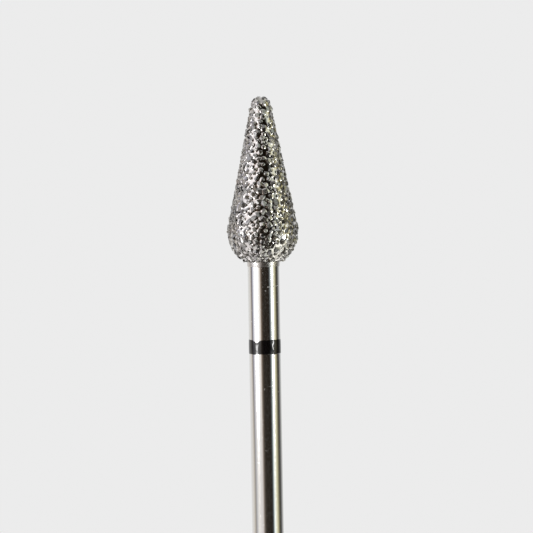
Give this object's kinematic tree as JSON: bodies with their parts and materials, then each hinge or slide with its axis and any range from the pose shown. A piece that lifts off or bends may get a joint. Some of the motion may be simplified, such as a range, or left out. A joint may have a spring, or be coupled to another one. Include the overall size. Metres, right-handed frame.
{
  "type": "diamond bur",
  "caption": "Tapered round-tip diamond grinding bur with a rounded base, on a straight 2.35 mm handpiece shank.",
  "frame": {"origin": "centre of the end face of the shank", "axes": "+Z along the bur's axis, from the end of the shank towards the tip of the head"},
  "size_m": [0.0053, 0.0052, 0.0445],
  "materials": {
    "ground_steel": "ground and polished",
    "nickel_plate": "satin electroplated nickel",
    "diamond_grit": "broken crystals with bright facets",
    "black_lacquer": "glossy baked lacquer"
  },
  "bodies": {
    "root": {"steel_blank": "ground_steel", "nickel_bond": "nickel_plate", "diamond_grains": "diamond_grit", "colour_ring": "black_lacquer"}
  },
  "joints": []
}
